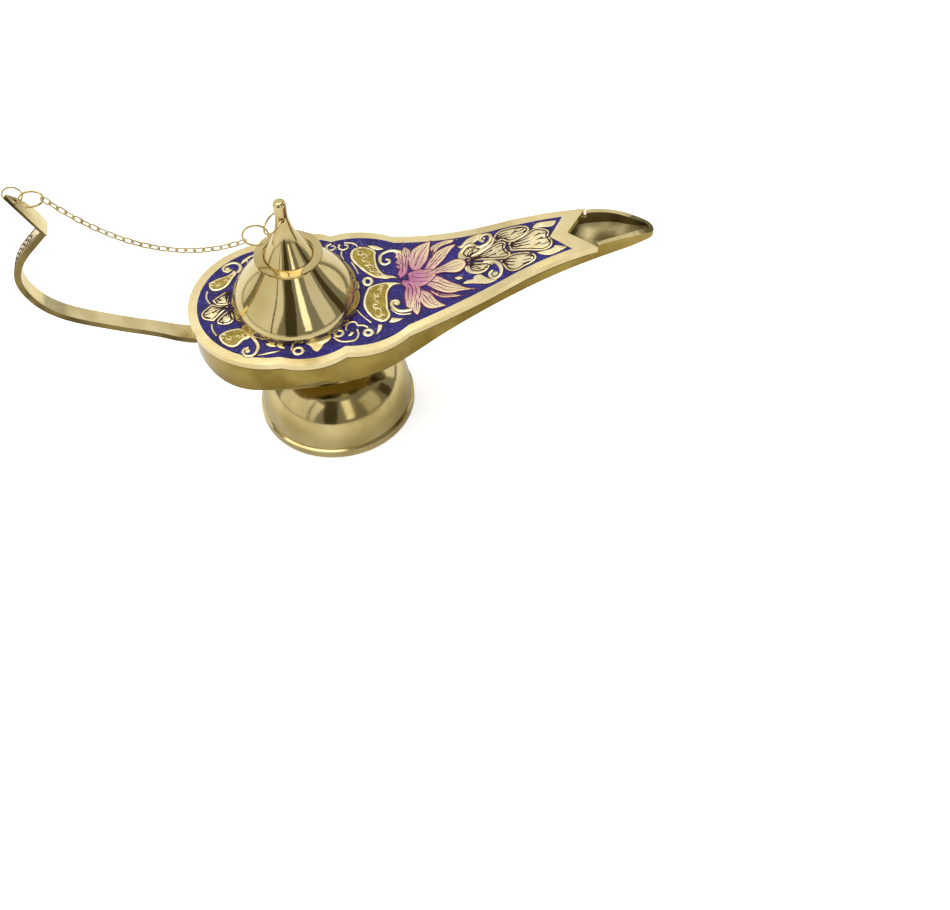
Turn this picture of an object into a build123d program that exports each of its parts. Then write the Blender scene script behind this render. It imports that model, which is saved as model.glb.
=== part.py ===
from build123d import *
from math import asin, asinh, atan, cos, cosh, pi, radians, sin, sinh, sqrt
import os

# Genie oil lamp of cast and turned brass, with an enamelled top, a lift-off lid and a safety chain.
# Frame: origin at the centre of the foot on the table, X towards the spout, Z up, in millimetres.

# Whole lamp
deck_height = 76.0            # top plate round the lid, above the table
half_width = 44.8             # top plate at its widest lobe
rear_reach = 64.0             # rear of the top plate, behind the foot's centre
prong_reach = 130.4           # forked front end of the top plate
spout_reach = 161.7           # tip of the spout
lid_axis_x = -12.5            # the lid stands a little behind the foot's centre
rise_gap = 0.5                # flat stretch from the lid's rim to where the top starts to climb
rise_height = 21.0            # how far the top climbs towards the spout
level_x = 140.0               # where it would level out again
overrun = 5.0                 # how far cuts and trims run past what they cut
fit_gap = 0.3                 # clearance between pieces that lift or slide
play = 0.12                   # clearance where wires cross

# Top plate
plate_thickness = 3.0
plate_border = 4.4            # plain brass between the edge and the enamel
notch_reach = 118.6           # inner corner of the fork
prong_half_width = 13.8
enamel_prong_reach = 118.6
enamel_notch_reach = 110.3
mouth_radius = 27.4           # filling hole under the lid
land_width = 2.4              # plain brass round the filling hole, under the lid's edge
recess_depth = 1.2
enamel_thickness = 1.0

# Body casting
wall = 2.4
plate_overhang = 0.8          # the plate stands out past the body wall by this much
seam_groove_height = 1.3
seam_groove_depth = 1.1
seat_height = 40.0            # underside of the body, where the foot is bolted on
seat_radius = 13.5
pad_height = 5.5              # boss inside the bowl that holds the stud
pad_radius = 9.0
lip_fall_start = 20.2         # height of the spout's lips over the plate, where they level out
lip_fall_end = 15.8           # and at the tip

# Foot
foot_radius = 39.8
foot_rim_height = 4.2
foot_rim_step = 1.1
foot_wall = 2.2
foot_web = 3.2                # thickness of the crown that the stud passes through
stud_radius = 3.0
stud_drop = 7.5               # stud below the crown
washer_radius = 7.5
washer_thickness = 1.2
nut_across_flats = 10.0
nut_thickness = 4.5

# Handle
handle_root_x = -60.0
handle_root_drop = 15.5       # root of the handle below the top plate
handle_reach = 133.4          # outermost point of the bend, behind the foot's centre
kink_x = -113.8
kink_rise = 60.6              # above the top plate
leaf_tip_x = -124.5
leaf_tip_rise = 79.8
strap_thickness = 3.0
strap_width = 7.6
strap_root_width = 11.0
strap_flare_length = 26.0     # over this length the strap narrows from its root
leaf_thickness = 1.3
leaf_width = 9.6
leaf_hole_radius = 1.3
leaf_hole_inset = 4.6         # hole's centre behind the leaf's tip

# Lid
lid_radius = 31.0
lid_height = 25.5             # up to the flat crown that carries the saucer
lid_crown_radius = 14.4
lid_wall = 1.4
lid_bead = 0.9
spigot_depth = 6.0            # how far the spigot reaches into the filling hole
spigot_wall = 1.3
spigot_flange = 1.8
saucer_radius = 15.9
saucer_thickness = 3.1
saucer_dish_radius = 12.2
saucer_dish_depth = 0.6
finial_base_radius = 11.7
finial_height = 31.4          # finial over the saucer's dish
stem_radius = 2.8
stem_bead_radius = 3.1
stem_hole_radius = 1.35
stem_hole_drop = 8.8          # below the top of the finial
tail_radius = 2.5             # threaded tail under the finial
tail_length = 11.5
lid_washer_radius = 6.5
lid_nut_across_flats = 8.0

# Rings and chain, which hang in the lamp's middle plane
handle_ring_outer = 9.0
handle_ring_wire = 0.8
handle_ring_lean = 42.0       # degrees between the ring's centre and the leaf, seen from the hole
handle_ring_pull = -55.0      # degrees from X towards Z at which the next ring hangs in it
jump_ring_outer = 11.0
start_ring_slope = -8.0
finial_ring_outer = 12.6
finial_ring_slope = 38.0
end_ring_slope = 28.0
ring_wire = 1.0
link_wire = 0.7
link_width = 3.1
link_count = 24
run_count = 4                 # the links are shared out in runs that bend at their ends
sag_size = 56.5               # parameter of the catenary that the chain hangs in

# Ornament on the top plate
vein_width = 0.9
small_ring_radius = 2.4
petal_gap = 0.45              # brass left between neighbouring enamels

plate_length = prong_reach - lid_axis_x
spout_length = spout_reach + rear_reach
bowl_depth = deck_height - seat_height
handle_root_z = deck_height - handle_root_drop
kink_z = deck_height + kink_rise
leaf_tip_z = deck_height + leaf_tip_rise
enamel_top = recess_depth - enamel_thickness
os.makedirs("parts", exist_ok=True)


def side(x, z):
    return Vector(x, 0, z)


def turned(vector, angle):
    # a direction in the middle plane, turned by an angle in radians from X towards Z
    return Vector(vector.X * cos(angle) - vector.Z * sin(angle), 0,
                  vector.X * sin(angle) + vector.Z * cos(angle))


def fill(edges):
    return Face(Wire(edges))


def both_ways(face, reach):
    # thickens a face in the middle plane to both sides of it
    return extrude(face, amount=reach, dir=(0, 1, 0), both=True)


def upright(face):
    # a post on a plan outline, tall enough to cross the whole top
    return extrude(face, amount=deck_height + rear_reach, dir=(0, 0, 1))


# Plan outlines. Shares are of plate_length in front of the lid's axis, and of half_width.
cusp_shares = (0.140, 0.893)
lobe_shares = (0.028, 1.000)
front_lobe_shares = (0.212, 0.910)
front_lobe_end_shares = (0.352, 0.735)
flank_shares = (0.650, 0.498)
rear_lobe_radius_share = 0.926


def plan_point(shares, inset):
    return Vector(lid_axis_x + shares[0] * plate_length, shares[1] * half_width - inset, 0)


def rear_lobe(inset):
    # the round rear of the outline, from one cusp to the other
    radius = half_width * rear_lobe_radius_share
    centre = Vector(radius - rear_reach, 0, 0)
    cusp = centre + Vector(0, radius - inset, 0)
    rear = centre - Vector(radius - inset, 0, 0)
    return cusp, Edge.make_three_point_arc(cusp, rear, Vector(cusp.X, -cusp.Y, 0))


def flank_edges(inset, end_x):
    # one side of the outline from the rear cusp to end_x on the flank of the spout
    cusp, _ = rear_lobe(inset)
    second_cusp = plan_point(cusp_shares, inset)
    lobe_end = plan_point(front_lobe_end_shares, inset)
    bend = plan_point(flank_shares, inset)
    prong = Vector(prong_reach, prong_half_width - inset, 0)
    slope = (prong.Y - bend.Y) / (prong.X - bend.X)
    end = Vector(end_x, prong.Y + slope * (end_x - prong.X), 0)
    middle = bend if end_x > bend.X else (lobe_end + end) / 2
    return end, [
        Edge.make_three_point_arc(cusp, plan_point(lobe_shares, inset), second_cusp),
        Edge.make_three_point_arc(second_cusp, plan_point(front_lobe_shares, inset), lobe_end),
        Edge.make_three_point_arc(lobe_end, middle, end),
    ]


def mirrored(edges):
    return [edge.mirror(Plane.XZ) for edge in edges]


def fork_outline(inset, prong_x, notch_x):
    # the lobed outline that ends in a swallow tail
    _, rear = rear_lobe(inset)
    prong, edges = flank_edges(inset, prong_x)
    edges.append(Edge.make_line(prong, Vector(notch_x, 0, 0)))
    return fill([rear, *edges, *mirrored(edges)])


lip_shares = (0.53, 0.83)      # along the lips, from the prongs to the spout's tip
lip_width_shares = (0.74, 0.46)


def spout_outline(inset):
    # the same outline, run on along the lips to the round tip of the spout
    _, rear = rear_lobe(inset)
    prong, edges = flank_edges(inset, prong_reach)
    tip = Vector(spout_reach - inset, 0, 0)
    reach = spout_reach - prong_reach
    lips = [Vector(prong_reach + s * reach - inset / 2, w * prong_half_width - inset, 0)
            for s, w in zip(lip_shares, lip_width_shares)]
    edges.append(Edge.make_spline([prong, *lips, tip], tangents=[Vector(1, -0.2, 0), Vector(0, -1, 0)]))
    return fill([rear, *edges, *mirrored(edges)])


# Side view of the top: level under the lid, then an arc that climbs, then one that levels out again
climb_share = 0.57             # the part of the climb that the first arc takes
rise_start_x = lid_axis_x + lid_radius + rise_gap
climb_run = level_x - rise_start_x
climb_slope = 2 * atan(rise_height / climb_run)
climb_radius = climb_share * climb_run / sin(climb_slope)
level_radius = (1 - climb_share) * climb_run / sin(climb_slope)
climb_centre = side(rise_start_x, deck_height + climb_radius)
level_centre = side(level_x, deck_height + rise_height - level_radius)


def climb(depth, end_x):
    # the top's line in the middle plane at some depth below the brass surface, and its end points
    start = side(-rear_reach - overrun, deck_height - depth)
    bend = side(rise_start_x, deck_height - depth)

    def climbing(angle):
        return climb_centre + side(sin(angle), -cos(angle)) * (climb_radius + depth)

    def levelling(angle):
        return level_centre + side(-sin(angle), cos(angle)) * (level_radius - depth)

    last = asin((level_x - end_x) / level_radius)
    middle = (climb_slope + last) / 2
    return start, levelling(last), [
        Edge.make_line(start, bend),
        Edge.make_three_point_arc(bend, climbing(climb_slope / 2), climbing(climb_slope)),
        Edge.make_three_point_arc(climbing(climb_slope), levelling(middle), levelling(last)),
    ]


def slab(top_depth, bottom_depth):
    # everything between two depths below the top's surface, past all outlines
    end_x = prong_reach + overrun
    start_a, end_a, upper = climb(top_depth, end_x)
    start_b, end_b, lower = climb(bottom_depth, end_x)
    ends = [Edge.make_line(end_a, end_b), Edge.make_line(start_b, start_a)]
    return both_ways(fill([*upper, *ends, *lower]), half_width + overrun)


def top_height(x):
    if x <= rise_start_x:
        return deck_height
    if x <= rise_start_x + climb_share * climb_run:
        return climb_centre.Z - sqrt(climb_radius ** 2 - (x - rise_start_x) ** 2)
    return level_centre.Z + sqrt(level_radius ** 2 - (level_x - x) ** 2)


lip_level_share = 0.53         # where the lips have levelled out


def body_side_face():
    # the body seen from the side, up to the underside of the plate and the spout's lips
    start, end, under_plate = climb(plate_thickness, prong_reach)
    step_top = side(end.X, top_height(prong_reach))
    reach = spout_reach - prong_reach
    level = side(prong_reach + lip_level_share * reach, deck_height + lip_fall_start)
    tip = side(spout_reach + overrun, deck_height + lip_fall_end - overrun / 2)
    lips = Edge.make_spline([step_top, level, tip], tangents=[Vector(1, 0, 0.15), Vector(1, 0, -0.5)])
    corner = side(tip.X, seat_height)
    rear = side(start.X, seat_height)
    return fill([*under_plate, Edge.make_line(end, step_top), lips,
                 Edge.make_line(tip, corner), Edge.make_line(corner, rear), Edge.make_line(rear, start)])


# The body's cross-sections. Along: share of spout_length from the rear. Width: share of half_width.
# Keel: share of bowl_depth above the seat.
section_shares = [
    (-0.010, 1.040, 0.580), (0.062, 1.040, 0.310), (0.150, 1.045, 0.100), (0.230, 1.045, 0.014),
    (0.310, 1.030, 0.008), (0.380, 0.985, 0.095), (0.452, 0.870, 0.275), (0.532, 0.715, 0.505),
    (0.630, 0.580, 0.760), (0.745, 0.465, 1.015), (0.862, 0.370, 1.225), (0.940, 0.300, 1.325),
    (1.012, 0.235, 1.372),
]
section_side_share = 0.74      # how far the sides run down before they turn in
section_floor_share = 0.60     # how flat the bottom is


def hull(inset):
    # the boat shape of the body, lofted through its cross-sections
    faces = []
    for along, width, keel in section_shares:
        x = -rear_reach + along * spout_length
        top = top_height(min(max(x, -rear_reach), prong_reach)) + overrun
        low = seat_height + keel * bowl_depth + inset
        half = width * half_width - inset
        side_end = top - section_side_share * (top - low)
        curve = Edge.make_bezier(Vector(x, half, top), Vector(x, half, side_end),
                                 Vector(x, section_floor_share * half, low), Vector(x, 0, low))
        across = Edge.make_line(Vector(x, -half, top), Vector(x, half, top))
        faces.append(fill([across, curve, curve.mirror(Plane.XZ)]))
    return loft(faces)


def column(radius, low, high, x=0.0):
    # an upright cylinder between two heights
    return Pos(x, 0, low) * Cylinder(radius, high - low, align=(Align.CENTER, Align.CENTER, Align.MIN))


def tube(outer, inner, low, high, x=0.0):
    return column(outer, low, high, x) - column(inner, low - overrun, high + overrun, x)


def hexagon(across_flats, low, high, x=0.0):
    corner = across_flats / 2 / cos(pi / 6)
    return Pos(x, 0, low) * extrude(RegularPolygon(corner, 6), amount=high - low)


def spun(edges, x=0.0):
    # turns a half profile round an upright axis
    return Pos(x, 0, 0) * revolve(fill(edges), axis=Axis.Z)


def chain_of_lines(points):
    return [Edge.make_line(a, b) for a, b in zip(points, points[1:])]


# Body: bowl and spout in one casting, with a seat below for the foot
side_trim = both_ways(body_side_face(), half_width + overrun)
body_block = hull(0) & upright(spout_outline(plate_overhang)) & side_trim
hollow = hull(wall) & upright(spout_outline(plate_overhang + wall))
seam_zone = slab(plate_thickness, plate_thickness + seam_groove_height)
seam = upright(fork_outline(-overrun, prong_reach, notch_reach)) & seam_zone
seam -= upright(spout_outline(plate_overhang + seam_groove_depth))
stud_top = seat_height + pad_height - wall / 2
body_shell = body_block - hollow - seam
body_shell += column(seat_radius, seat_height, seat_height + wall)
body_shell += column(pad_radius, seat_height, seat_height + pad_height)
body_shell -= column(stud_radius, seat_height - overrun, stud_top)
export_step(body_shell, "parts/body_shell.step")

# Foot: an upturned cup whose crown carries the body
foot_shares = [(0.962, 0.300), (0.915, 0.490), (0.790, 0.690), (0.590, 0.835), (0.425, 0.915)]
foot_neck_share = 0.962
crown_underside = seat_height - foot_web


def foot_curve(inset, start, end):
    middle = [side(r * foot_radius - inset, z * seat_height - inset) for r, z in foot_shares]
    return Edge.make_spline([start, *middle, end])


rim_top = side(foot_radius, foot_rim_height)
step_in = side(foot_radius - foot_rim_step, foot_rim_height + foot_rim_step / 2)
neck = side(seat_radius, foot_neck_share * seat_height)
inner_foot = side(foot_radius - foot_rim_step - foot_wall, 0)
inner_wall = side(inner_foot.X, foot_rim_height)
inner_neck = side(seat_radius - foot_wall, crown_underside)
foot = spun([
    *chain_of_lines([side(foot_radius, 0), rim_top, step_in]),
    foot_curve(0, step_in, neck),
    *chain_of_lines([neck, side(seat_radius, seat_height), side(0, seat_height), side(0, crown_underside),
                     inner_neck]),
    foot_curve(foot_wall, inner_wall, inner_neck),
    *chain_of_lines([inner_wall, inner_foot, side(foot_radius, 0)]),
])
foot -= column(stud_radius + play, 0, seat_height + overrun)
export_step(foot, "parts/foot.step")

washer_low = crown_underside - washer_thickness
nut_low = washer_low - nut_thickness
export_step(column(stud_radius, crown_underside - stud_drop, stud_top), "parts/body_stud.step")
export_step(tube(washer_radius, stud_radius + play, washer_low, crown_underside), "parts/foot_washer.step")
foot_nut = hexagon(nut_across_flats, nut_low, washer_low) - column(stud_radius, 0, seat_height)
export_step(foot_nut, "parts/foot_nut.step")

# Ornament: plan shapes of the enamels and of the brass islands among them


def spot(along, across):
    return Vector(lid_axis_x + along * plate_length, across * half_width, 0)


def petal(base, tip, width, grow=0.0):
    # a pointed leaf between two places, given as shares, grown all round if asked
    start, end = spot(*base), spot(*tip)
    run = (end - start).normalized()
    start, end = start - run * grow, end + run * grow
    bulge = Vector(-run.Y, run.X, 0) * (width * half_width / 2 + grow)
    middle = (start + end) / 2
    return fill([Edge.make_three_point_arc(start, middle + bulge, end),
                 Edge.make_three_point_arc(end, middle - bulge, start)])


def comma(head, tail, turn, width, grow=0.0):
    # a paisley: a round head and a tail that bends to one side
    centre, end = spot(*head), spot(*tail)
    run = (end - centre).normalized()
    across = Vector(-run.Y, run.X, 0) * turn
    radius = width * half_width / 2 + grow
    end = end + run * grow
    middle = (centre + end) / 2
    near, far = centre - across * radius, centre + across * radius
    sheet = fill([Edge.make_three_point_arc(near, centre - run * radius, far),
                  Edge.make_three_point_arc(far, middle + across * radius, end),
                  Edge.make_three_point_arc(end, middle - across * (radius / 4 + grow / 2), near)])
    return sheet


def joined(faces):
    whole = faces[0]
    for face in faces[1:]:
        whole = whole + face
    return whole


lotus_base = (0.350, 0.0)
lotus_tip_shares = [(0.392, 0.44), (0.462, 0.45), (0.535, 0.30), (0.572, 0.0)]
lotus_width_shares = [0.17, 0.19, 0.19, 0.17]
paisley_shares = [((0.236, 0.375), (0.300, 0.085), -1, 0.250), ((-0.240, 0.420), (-0.165, 0.650), 1, 0.190)]
bloom_base = (0.590, 0.0)
bloom_tip_shares = [(0.660, 0.265), (0.745, 0.235), (0.800, 0.130), (0.835, 0.0)]
bloom_width_shares = [0.16, 0.16, 0.15, 0.17]
rear_bloom_base = (-0.222, 0.0)
rear_bloom_tip_shares = [(-0.285, 0.235), (-0.318, 0.0)]
rear_bloom_width_share = 0.15
vein_shares = (0.30, 0.80)     # the part of a petal's length that its vein takes
sprig_shares = [((-0.150, 0.800), (-0.070, 0.850)), ((-0.020, 0.855), (0.075, 0.800)),
                ((0.105, 0.745), (0.165, 0.640)), ((0.265, 0.640), (0.345, 0.565))]
sprig_width_share = 0.075
tip_leaf_shares = [((0.855, 0.050), (0.905, 0.170))]


def both_sides(places):
    # the places on each side of the lamp's middle with that side's sign, or once if they lie on it
    if not any(y for _, y in places):
        return [(places, 1)]
    return [([(x, hand * y) for x, y in places], hand) for hand in (1, -1)]


def fan(base, tips, widths, grow=0.0):
    return [petal(start, end, width, grow) for tip, width in zip(tips, widths)
            for (start, end), _ in both_sides([base, tip])]


def veins(base, tips):
    # thin slits along the middle of each petal
    slits = []
    for tip in tips:
        for (start, end), _ in both_sides([base, tip]):
            ends = [[a + s * (b - a) for a, b in zip(start, end)] for s in vein_shares]
            slits.append(petal(*ends, vein_width / half_width))
    return slits


def paisleys(grow=0.0):
    return [comma(ends[0], ends[1], turn * hand, width, grow) for head, tail, turn, width in paisley_shares
            for ends, hand in both_sides([head, tail])]


def sprigs():
    return [petal(start, end, sprig_width_share) for base, tip in sprig_shares + tip_leaf_shares
            for (start, end), _ in both_sides([base, tip])]


rear_bloom_widths = [rear_bloom_width_share] * len(rear_bloom_tip_shares)
ring_place = spot(0.247, 0.0)
small_ring = Pos(ring_place.X, 0, 0) * (Circle(small_ring_radius) - Circle(small_ring_radius / 2))
land = Pos(lid_axis_x, 0, 0) * Circle(mouth_radius + land_width)
field = fork_outline(plate_border, enamel_prong_reach, enamel_notch_reach) - land
islands = joined([
    *fan(bloom_base, bloom_tip_shares, bloom_width_shares),
    *fan(rear_bloom_base, rear_bloom_tip_shares, rear_bloom_widths),
    *sprigs(),
    small_ring,
])
lotus = fan(lotus_base, lotus_tip_shares, lotus_width_shares)
pink = joined(lotus)
yellow = joined(paisleys())
maroon = joined(veins(bloom_base, bloom_tip_shares) + veins(rear_bloom_base, rear_bloom_tip_shares))
walls = joined(fan(lotus_base, lotus_tip_shares, lotus_width_shares, petal_gap) + paisleys(petal_gap))
blue = field - islands - walls

# Top plate with its filling hole, and the enamels that fill its recesses
enamel_zone = slab(enamel_top, recess_depth)
cut_zone = slab(-overrun, recess_depth)
deck_plate = upright(fork_outline(0, prong_reach, notch_reach)) & slab(0, plate_thickness)
deck_plate -= column(mouth_radius, 0, deck_height + overrun, lid_axis_x)
for name, sheet in (("blue", blue), ("pink", pink), ("yellow", yellow), ("maroon", maroon)):
    post = upright(sheet)
    deck_plate -= post & cut_zone
    export_step(post & enamel_zone, f"parts/enamel_{name}.step")
export_step(deck_plate, "parts/deck_plate.step")

# Handle: a strap that bends up behind the body, and a leaf for the thumb on its end
handle_shares = [(0.107, 0.016), (0.263, 0.084), (0.445, 0.157), (0.626, 0.236), (0.793, 0.322),
                 (0.914, 0.428), (0.982, 0.552), (1.000, 0.662), (0.966, 0.768), (0.883, 0.873)]
handle_run = -handle_reach + strap_thickness / 2 - handle_root_x
handle_rise = kink_z - handle_root_z
leaf_bow_share = 0.045
kink = side(kink_x, kink_z)
leaf_tip = side(leaf_tip_x, leaf_tip_z)
leaf_run = (leaf_tip - kink).normalized()
leaf_face = turned(leaf_run, -pi / 2)
leaf_hole = leaf_tip - leaf_run * leaf_hole_inset


def strip(line, thickness, steps):
    # a band of even thickness along a line in the middle plane
    rows = []
    for hand in (1, -1):
        row = []
        for step in range(steps + 1):
            place, run = line.position_at(step / steps), line.tangent_at(step / steps)
            row.append(place + turned(run, pi / 2) * (hand * thickness / 2))
        rows.append(row)
    return fill([Edge.make_spline(rows[0]), Edge.make_line(rows[0][-1], rows[1][-1]),
                 Edge.make_spline(rows[1]), Edge.make_line(rows[1][0], rows[0][0])])


root = side(handle_root_x, handle_root_z)
strap_points = [root + side(s * handle_run, t * handle_rise) for s, t in handle_shares]
strap_line = Edge.make_spline([root, *strap_points, kink])
strap = both_ways(strip(strap_line, strap_thickness, 2 * len(handle_shares)), half_width)
flare_end = handle_root_x - strap_flare_length
root_corner = Vector(handle_root_x + overrun, strap_root_width / 2, 0)
flare_corner = Vector(flare_end, strap_width / 2, 0)
far_corner = Vector(-handle_reach - overrun, strap_width / 2, 0)
flare_bend = Vector((handle_root_x + flare_end) / 2, strap_width / 2, 0)
flare = Edge.make_bezier(root_corner, flare_bend, flare_corner)
strap_side = [flare, Edge.make_line(flare_corner, far_corner)]
strap_plan = fill([Edge.make_line(Vector(root_corner.X, -root_corner.Y, 0), root_corner), *strap_side,
                   Edge.make_line(far_corner, Vector(far_corner.X, -far_corner.Y, 0)), *mirrored(strap_side)])
strap &= upright(strap_plan)

leaf_length = (leaf_tip - kink).length
leaf_middle = (kink + leaf_tip) / 2 + leaf_face * (leaf_bow_share * leaf_length)
leaf_line = Edge.make_three_point_arc(kink - leaf_run * strap_thickness / 2, leaf_middle, leaf_tip)
leaf = both_ways(strip(leaf_line, leaf_thickness, 6), half_width)
leaf_shares = [(0.30, 1.00), (0.68, 0.76), (0.93, 0.34)]   # height up the leaf, half width there
leaf_base_share = 0.80
leaf_rise = leaf_tip_z - kink_z
low_z = kink_z - strap_thickness
leaf_points = [Vector(0, s * leaf_width / 2, kink_z + h * leaf_rise) for h, s in leaf_shares]
leaf_corner = Vector(0, leaf_base_share * leaf_width / 2, low_z)
leaf_top = Vector(0, 0, leaf_tip_z + leaf_thickness / 2)
leaf_side = Edge.make_spline([leaf_corner, *leaf_points, leaf_top])
leaf_front = fill([leaf_side, leaf_side.mirror(Plane.XZ),
                   Edge.make_line(leaf_corner, Vector(0, -leaf_corner.Y, low_z))])
leaf &= extrude(leaf_front, amount=handle_reach + overrun, dir=(-1, 0, 0))
hole_plane = Plane(origin=leaf_hole, z_dir=leaf_face)
leaf -= hole_plane * Cylinder(leaf_hole_radius, 2 * strap_thickness)
handle = strap - body_block + leaf
export_step(handle, "parts/handle.step")

# Lid: a turned dome with a spigot below, and a saucer and finial bolted on top
dome_shares = [(0.982, 0.115), (0.905, 0.320), (0.760, 0.560), (0.590, 0.800)]
crown_z = deck_height + lid_height


def dome_curve(inset, start, end):
    middle = [side(r * lid_radius - inset, deck_height + z * lid_height - inset / 2) for r, z in dome_shares]
    return Edge.make_spline([start, *middle, end])


rim = side(lid_radius, deck_height + lid_bead)
crown = side(lid_crown_radius, crown_z)
inner_rim = side(lid_radius - lid_wall, deck_height)
inner_crown = side(lid_crown_radius - lid_wall, crown_z - lid_wall)
tail_hole = tail_radius + play
lid_dome = spun([
    Edge.make_line(side(lid_radius, deck_height), rim),
    dome_curve(0, rim, crown),
    *chain_of_lines([crown, side(tail_hole, crown_z), side(tail_hole, crown_z - lid_wall), inner_crown]),
    dome_curve(lid_wall, inner_rim, inner_crown),
    Edge.make_line(inner_rim, side(lid_radius, deck_height)),
], lid_axis_x)
export_step(lid_dome, "parts/lid_dome.step")

spigot_radius = mouth_radius - fit_gap
lid_spigot = column(spigot_radius, deck_height - spigot_depth, deck_height, lid_axis_x)
spigot_rim = column(lid_radius - lid_wall / 2, deck_height, deck_height + spigot_flange, lid_axis_x)
lid_spigot += spigot_rim - lid_dome
lid_spigot -= column(spigot_radius - spigot_wall, 0, crown_z, lid_axis_x)
export_step(lid_spigot, "parts/lid_spigot.step")

saucer_foot_share = 0.93       # the saucer's underside, as a share of the crown that it sits on
saucer_lip_share = 0.70        # height of its sharp lip
saucer_top = crown_z + saucer_thickness
dish_z = saucer_top - saucer_dish_depth
saucer_lip = side(saucer_radius, crown_z + saucer_lip_share * saucer_thickness)
saucer_start = side(saucer_foot_share * lid_crown_radius, crown_z)
saucer_flare = side(saucer_start.X, (saucer_start.Z + saucer_lip.Z) / 2)
lid_saucer = spun([
    Edge.make_line(side(tail_hole, crown_z), saucer_start),
    Edge.make_bezier(saucer_start, saucer_flare, saucer_lip),
    *chain_of_lines([saucer_lip, side(saucer_radius, saucer_top), side(saucer_dish_radius, saucer_top),
                     side(saucer_dish_radius, dish_z), side(tail_hole, dish_z), side(tail_hole, crown_z)]),
], lid_axis_x)
export_step(lid_saucer, "parts/lid_saucer.step")

finial_shares = [(0.840, 0.105), (0.640, 0.240), (0.450, 0.400), (0.325, 0.560)]
stem_start_share = 0.74
bead_share = 0.93
bead_shoulder_share = 0.86
finial_top = dish_z + finial_height
cone_start = side(finial_base_radius, dish_z)
stem_start = side(stem_radius, dish_z + stem_start_share * finial_height)
bead = side(stem_bead_radius, dish_z + bead_share * finial_height)
top_flat = side(stem_bead_radius / 2, finial_top)
bead_shoulder = side(bead_shoulder_share * stem_bead_radius, (bead.Z + 2 * finial_top) / 3)
finial = spun([
    Edge.make_line(side(0, dish_z), cone_start),
    Edge.make_spline([cone_start, *[side(r * finial_base_radius, dish_z + z * finial_height)
                                    for r, z in finial_shares], stem_start]),
    Edge.make_line(stem_start, bead),
    Edge.make_three_point_arc(bead, bead_shoulder, top_flat),
    *chain_of_lines([top_flat, side(0, finial_top), side(0, dish_z)]),
], lid_axis_x)
stem_hole = side(lid_axis_x, finial_top - stem_hole_drop)
finial -= Plane(origin=stem_hole, z_dir=(0, 1, 0)) * Cylinder(stem_hole_radius, 4 * stem_radius)
finial += column(tail_radius, dish_z - tail_length, dish_z, lid_axis_x)
export_step(finial, "parts/finial.step")

lid_washer_low = crown_z - lid_wall - washer_thickness
lid_nut_low = lid_washer_low - nut_thickness
export_step(tube(lid_washer_radius, tail_hole, lid_washer_low, crown_z - lid_wall, lid_axis_x),
            "parts/lid_washer.step")
lid_nut = hexagon(lid_nut_across_flats, lid_nut_low, lid_washer_low, lid_axis_x)
lid_nut -= column(tail_radius, 0, crown_z, lid_axis_x)
export_step(lid_nut, "parts/lid_nut.step")

# Safety chain from the leaf to the finial. Flat loops lie in the middle plane, the others stand square
# to it, and each crosses the next at play. The chain's two end rings set the ends of its catenary.


def heading(angle):
    # a direction in the middle plane, in degrees from X towards Z
    return side(cos(radians(angle)), sin(radians(angle)))


def hang(wire, other):
    # between the centre lines of two wires that hang in each other
    return (wire + other) / 2 + play


def wire_frame(centre, run, flat):
    normal = Vector(0, 1, 0) if flat else turned(run, pi / 2)
    return Plane(origin=centre, x_dir=run, z_dir=normal)


def ring(centre, run, flat, outer, wire):
    return wire_frame(centre, run, flat) * Torus((outer - wire) / 2, wire / 2)


def link(start, end, flat):
    # an oval link whose grips are at start and end
    run = (end - start).normalized()
    straight = (end - start).length + hang(link_wire, link_wire) + link_wire - link_width
    bend = (link_width - link_wire) / 2
    line = Edge.make_line((straight / 2, bend, 0), (-straight / 2, bend, 0))
    left = Edge.make_three_point_arc((-straight / 2, bend, 0), (-straight / 2 - bend, 0, 0),
                                     (-straight / 2, -bend, 0))
    path = Wire([line, left, line.rotate(Axis.Z, 180), left.rotate(Axis.Z, 180)])
    section = Plane(origin=(0, bend, 0), z_dir=(-1, 0, 0)) * Circle(link_wire / 2)
    return wire_frame((start + end) / 2, run, flat) * sweep(section, path=path)


handle_ring_radius = (handle_ring_outer - handle_ring_wire) / 2
jump_ring_radius = (jump_ring_outer - ring_wire) / 2
finial_ring_radius = (finial_ring_outer - ring_wire) / 2
lean = radians(handle_ring_lean)
handle_ring_centre = leaf_hole + (leaf_run * cos(lean) + leaf_face * sin(lean)) * handle_ring_radius
pull = handle_ring_radius - hang(handle_ring_wire, ring_wire)
start_ring_start = handle_ring_centre + heading(handle_ring_pull) * pull
start_ring_end = start_ring_start + heading(start_ring_slope) * (2 * jump_ring_radius)

stem_bend = stem_radius ** 2 / (4 * finial_ring_radius)    # the ring's bend inside the stem's hole
finial_ring_centre = stem_hole - heading(finial_ring_slope) * (finial_ring_radius - stem_bend)
finial_ring_end = finial_ring_centre - heading(finial_ring_slope) * finial_ring_radius
end_ring_run = heading(end_ring_slope)
end_ring_centre = finial_ring_end - end_ring_run * (finial_ring_radius - hang(ring_wire, ring_wire))
chain_tip = end_ring_centre - end_ring_run * (finial_ring_radius - hang(link_wire, ring_wire))

# The catenary through start_ring_end and chain_tip, by its lowest point
half_span = (chain_tip.X - start_ring_end.X) / (2 * sag_size)
sag_lean = asinh((chain_tip.Z - start_ring_end.Z) / (2 * sag_size * sinh(half_span)))
sag_low_x = (chain_tip.X + start_ring_end.X) / 2 - sag_size * sag_lean
sag_low_z = chain_tip.Z - sag_size * (cosh((chain_tip.X - sag_low_x) / sag_size) - 1)


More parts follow.
